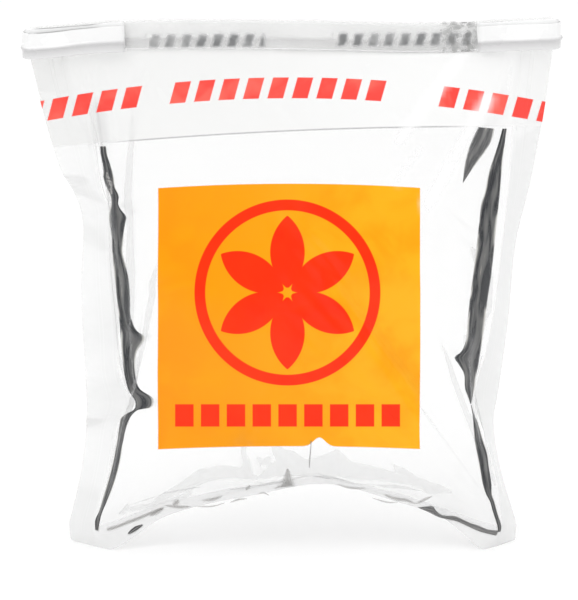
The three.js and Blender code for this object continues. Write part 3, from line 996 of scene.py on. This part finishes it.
def tuck_material(relief):
    """Film in a tuck painted as shade: dark grey with painted silver reflections along it, or a paler grey
    for a soft crimp.
    """
    material, n, shader = new_material("tuck_painted_shade")
    u, v = n.uv("strip")
    tone = n.attribute("tone")
    place = n.add("ShaderNodeCombineXYZ")
    n.put(place.inputs[0], n.product(u, 1.5))
    n.put(place.inputs[1], n.product(v, 0.35))
    streaks = n.noise(2.2, detail=2.0, roughness=0.5, vector=place.outputs[0], distortion=0.5)
    # Painted shade in dark grey, with brighter painted reflections in streaks
    colour = n.blend(n.ramp(streaks, 0.38, 0.66), (0.014, 0.016, 0.02, 1), (0.13, 0.13, 0.127, 1))
    colour = n.blend(n.ramp(streaks, 0.68, 0.74), colour, (0.36, 0.33, 0.3, 1))
    # Painted highlight along the rims of a tuck
    rim = n.math("MINIMUM", u, n.math("SUBTRACT", 1.0, u))
    rim_light = n.product(n.ramp(rim, 0.02, 0.15, 1.0, 0.0), n.ramp(streaks, 0.46, 0.58))
    colour = n.blend(rim_light, colour, (0.6, 0.59, 0.56, 1))
    colour = n.blend(tone, colour, (0.42, 0.41, 0.4, 1))
    n.put(shader.inputs["Base Color"], colour)
    n.put(shader.inputs["Roughness"], n.ramp(streaks, 0.3, 0.7, 0.22, 0.4))
    shader.inputs["Specular IOR Level"].default_value = 0.35
    soft = n.math("MULTIPLY_ADD", tone, 0.42, 0.08)
    cover = n.ramp(rim, 0.0, soft)
    crisp = n.math("MULTIPLY_ADD", cover, 0.22, 0.75)
    pale = n.product(cover, 0.8)
    dark = n.math("SUBTRACT", 1.0, tone)
    n.put(shader.inputs["Alpha"], n.total(n.product(crisp, dark), n.product(pale, tone)))
    made = n.group(relief, Crumple_Scale=110.0, Crumple=1.0, Drawn_Lines=0.1)
    n.put(shader.inputs["Normal"], bump(n, made.outputs["Height"], 0.0004, 0.15))
    return material


def roll_material(relief):
    """Several films over each other, with dim marks of an inner one showing through."""
    material, n, shader = new_material("rolled_film")
    across, up = print_places(n)
    centre = n.total(149.9, n.product(across, 0.006))
    height = n.math("SUBTRACT", up, centre)
    slid = n.math("MULTIPLY_ADD", height, -0.25, across)
    blur = n.noise(700.0, detail=2.0)
    place = n.math("FRACT", n.math("DIVIDE", n.math("ADD", slid, n.product(blur, 1.2)), 4.6))
    marks = n.product(
        n.between(place, 0.12, 0.66, 0.3),
        n.between(height, -1.9, 1.8, 1.3),
        n.total(n.between(across, -43.0, -8.0, 1.5), n.between(across, 12.0, 53.0, 1.5)),
        n.ramp(n.noise(160.0), 0.25, 0.6, 0.35, 0.85),
    )
    made = n.group(relief, Crumple_Scale=120.0, Crumple=1.0, Drawn_Lines=0.1)
    # Painted light: the roll is lighter towards its top edge
    tone = n.blend(n.ramp(height, -4.4, 4.2), (0.9, 0.9, 0.895, 1), (0.97, 0.97, 0.965, 1))
    tone = n.blend(n.ramp(made.outputs["Mottle"], 0.5, 0.75), tone, (1, 1, 0.995, 1))
    dark_end = n.product(n.between(across, 44.0, 54.0, 3.0), n.ramp(n.noise(520.0), 0.45, 0.62))
    colour = n.blend(marks, tone, (0.12, 0.125, 0.13, 1))
    colour = n.blend(n.product(dark_end, 0.6), colour, (0.15, 0.15, 0.145, 1))
    n.put(shader.inputs["Base Color"], colour)
    cover = n.total(0.2, n.product(marks, 0.6))
    n.put(shader.inputs["Alpha"], n.math("MAXIMUM", cover, n.product(dark_end, 0.8)))
    n.put(shader.inputs["Roughness"], n.ramp(made.outputs["Mottle"], 0.3, 0.7, 0.14, 0.3))
    n.put(shader.inputs["Normal"], bump(n, made.outputs["Height"], 0.0004, 0.5))
    return material


def tape_material(relief):
    """White tape with a grey band in its lower part, partly the wire inside showing through and partly
    painted shade below its ridge.
    """
    material, n, shader = new_material("white_tape")
    made = n.group(relief, Crumple_Scale=60.0, Crumple=0.7, Drawn_Lines=0.25)
    mottle = made.outputs["Mottle"]
    height, run = n.uv("strip")
    height = n.math("MULTIPLY_ADD", n.math("SUBTRACT", mottle, 0.5), 0.12, height)
    # Grey band: partly the wire seen through the tape, partly painted shade below its ridge
    wire = n.product(n.ramp(height, 0.36, 0.5, 1.0, 0.0), n.ramp(height, 0.0, 0.3, 0.55, 1.0))
    colour = n.blend(n.ramp(mottle, 0.35, 0.7), (0.86, 0.86, 0.86, 1), (0.91, 0.91, 0.91, 1))
    colour = n.blend(wire, colour, (0.6, 0.595, 0.6, 1))
    on_left_tab = n.ramp(run, 0.05, 0.1, 0.0, 1.0)
    on_left_tab = n.product(on_left_tab, n.ramp(run, 0.24, 0.28, 1.0, 0.0))
    # Painted shadow: a dark line along the top edge of the left tab
    top_edge_shadow = n.product(n.ramp(height, 0.95, 0.99), on_left_tab)
    colour = n.blend(top_edge_shadow, colour, (0.3, 0.3, 0.3, 1))
    n.put(shader.inputs["Base Color"], colour)
    n.put(shader.inputs["Roughness"], n.ramp(mottle, 0.3, 0.7, 0.2, 0.34))
    shader.inputs["Coat Weight"].default_value = 0.3
    shader.inputs["Coat Roughness"].default_value = 0.12
    n.put(shader.inputs["Normal"], bump(n, made.outputs["Height"], 0.0003, 0.4))
    return material


def floor_material():
    material, n, shader = new_material("pale_floor")
    colour = n.blend(n.noise(3.0, detail=3.0), (0.95, 0.95, 0.95, 1), (0.96, 0.96, 0.96, 1))
    n.put(shader.inputs["Base Color"], colour)
    shader.inputs["Roughness"].default_value = 0.7
    shader.inputs["Specular IOR Level"].default_value = 0.2
    return material


# Stage


def add_floor():
    half = 6000
    corners = [(-half, -half, 0), (half, -half, 0), (half, half, 0), (-half, half, 0)]
    floor = mesh_object("floor", corners, [(0, 1, 2, 3)])
    floor.data.materials.append(floor_material())


def add_camera():
    camera = bpy.data.objects.new("camera", bpy.data.cameras.new("camera"))
    bpy.context.scene.collection.objects.link(camera)
    camera.data.sensor_fit = "VERTICAL"
    camera.data.sensor_height = SENSOR
    camera.data.lens = SENSOR * DISTANCE / (PICTURE_HEIGHT / PICTURE_SCALE)
    _, _, forward = view_axes()
    camera.location = Vector((AIM - DISTANCE * forward) * MM)
    camera.rotation_euler = (math.pi / 2 - ELEVATION, 0, 0)
    camera.data.clip_start = 0.01
    camera.data.clip_end = 100
    bpy.context.scene.camera = camera


def add_area_light(name, place, size, power):
    light = bpy.data.lights.new(name, "AREA")
    light.shape = "RECTANGLE"
    light.size, light.size_y = size
    light.energy = power
    made = bpy.data.objects.new(name, light)
    bpy.context.scene.collection.objects.link(made)
    made.location = place
    toward = Vector((0, 0, 0.08)) - Vector(place)
    made.rotation_euler = toward.to_track_quat("-Z", "Y").to_euler()


def light_studio():
    world = bpy.data.worlds.new("studio")
    bpy.context.scene.world = world
    world.use_nodes = True
    n = Nodes(world.node_tree)
    background = world.node_tree.nodes["Background"]
    background.inputs["Color"].default_value = (1, 1, 1, 1)
    split = n.add("ShaderNodeSeparateXYZ")
    n.put(split.inputs[0], n.add("ShaderNodeTexCoord").outputs["Generated"])
    n.put(background.inputs["Strength"], n.ramp(split.outputs["Z"], 0.02, 0.5, SIDE_LIGHT, TOP_LIGHT))
    add_area_light("key", (-0.5, -0.7, 1.1), (0.6, 0.6), 2.6)
    add_area_light("fill", (0.8, -0.5, 0.7), (0.5, 0.8), 1.0)
    bpy.context.scene.view_settings.view_transform = "Standard"


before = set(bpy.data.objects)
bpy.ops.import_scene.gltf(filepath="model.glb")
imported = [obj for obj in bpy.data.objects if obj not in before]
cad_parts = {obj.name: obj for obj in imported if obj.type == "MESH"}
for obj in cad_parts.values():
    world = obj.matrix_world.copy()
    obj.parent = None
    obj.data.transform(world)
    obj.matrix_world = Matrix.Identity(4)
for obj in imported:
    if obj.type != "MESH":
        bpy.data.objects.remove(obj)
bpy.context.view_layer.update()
add_camera()
relief = film_relief_group()

film = film_piece()
film.data.materials.append(film_material(relief))
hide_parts("bag_film")
film_looks = [film]

film_tree = BVHTree.FromObject(film, bpy.context.evaluated_depsgraph_get())
tucks = {
    "left_tuck": (LEFT_TUCK, 0),
    "right_tuck": (RIGHT_TUCK, 0),
    "right_lower_tuck": (RIGHT_LOWER_TUCK, 0),
    "upper_leaf": (UPPER_LEAF, 0.12),
    "open_fold": (OPEN_FOLD, 0.9),
    "bottom_right_tuck": (BOTTOM_RIGHT_TUCK, 0.25),
    "bottom_left_tuck": (BOTTOM_LEFT_TUCK, 0.85),
    "foot_wrinkle": (FOOT_WRINKLE, 0.1),
    "bottom_wedge": (BOTTOM_WEDGE, 0.75),
    "centre_crease": (CENTRE_CREASE, 0.6),
}
tuck_shade = tuck_material(relief)
for name, (edges, tone) in tucks.items():
    film_looks.append(strips_piece(name, [tuck_grid(film_tree, edges, TUCK_CURL)], tone))
crimps = [tuck_grid(film_tree, crimp_edges(*crimp), CRIMP_CURL) for crimp in CRIMPS]
film_looks.append(strips_piece("arch_crimps", crimps, 1))
for tuck in film_looks[1:]:
    tuck.data.materials.append(tuck_shade)

roll = roll_piece()
roll.data.materials.append(roll_material(relief))
film_looks.append(roll)
for piece in film_looks:
    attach(piece, "root")

tape_finish = tape_material(relief)
front = tape_piece("folded_tape_front", -CORE_OFFSET, FRONT_TAB_Y, FRONT_BEND, 1, TAB_SPLAY)
back = tape_piece("folded_tape_back", CORE_OFFSET, BACK_TAB_Y, BACK_BEND, -1, -TAB_SPLAY)
for piece, node in ((front, "wire_tape_front"), (back, "wire_tape_back")):
    piece.data.materials.append(tape_finish)
    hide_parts(node)
    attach(piece, "root")

add_floor()
light_studio()
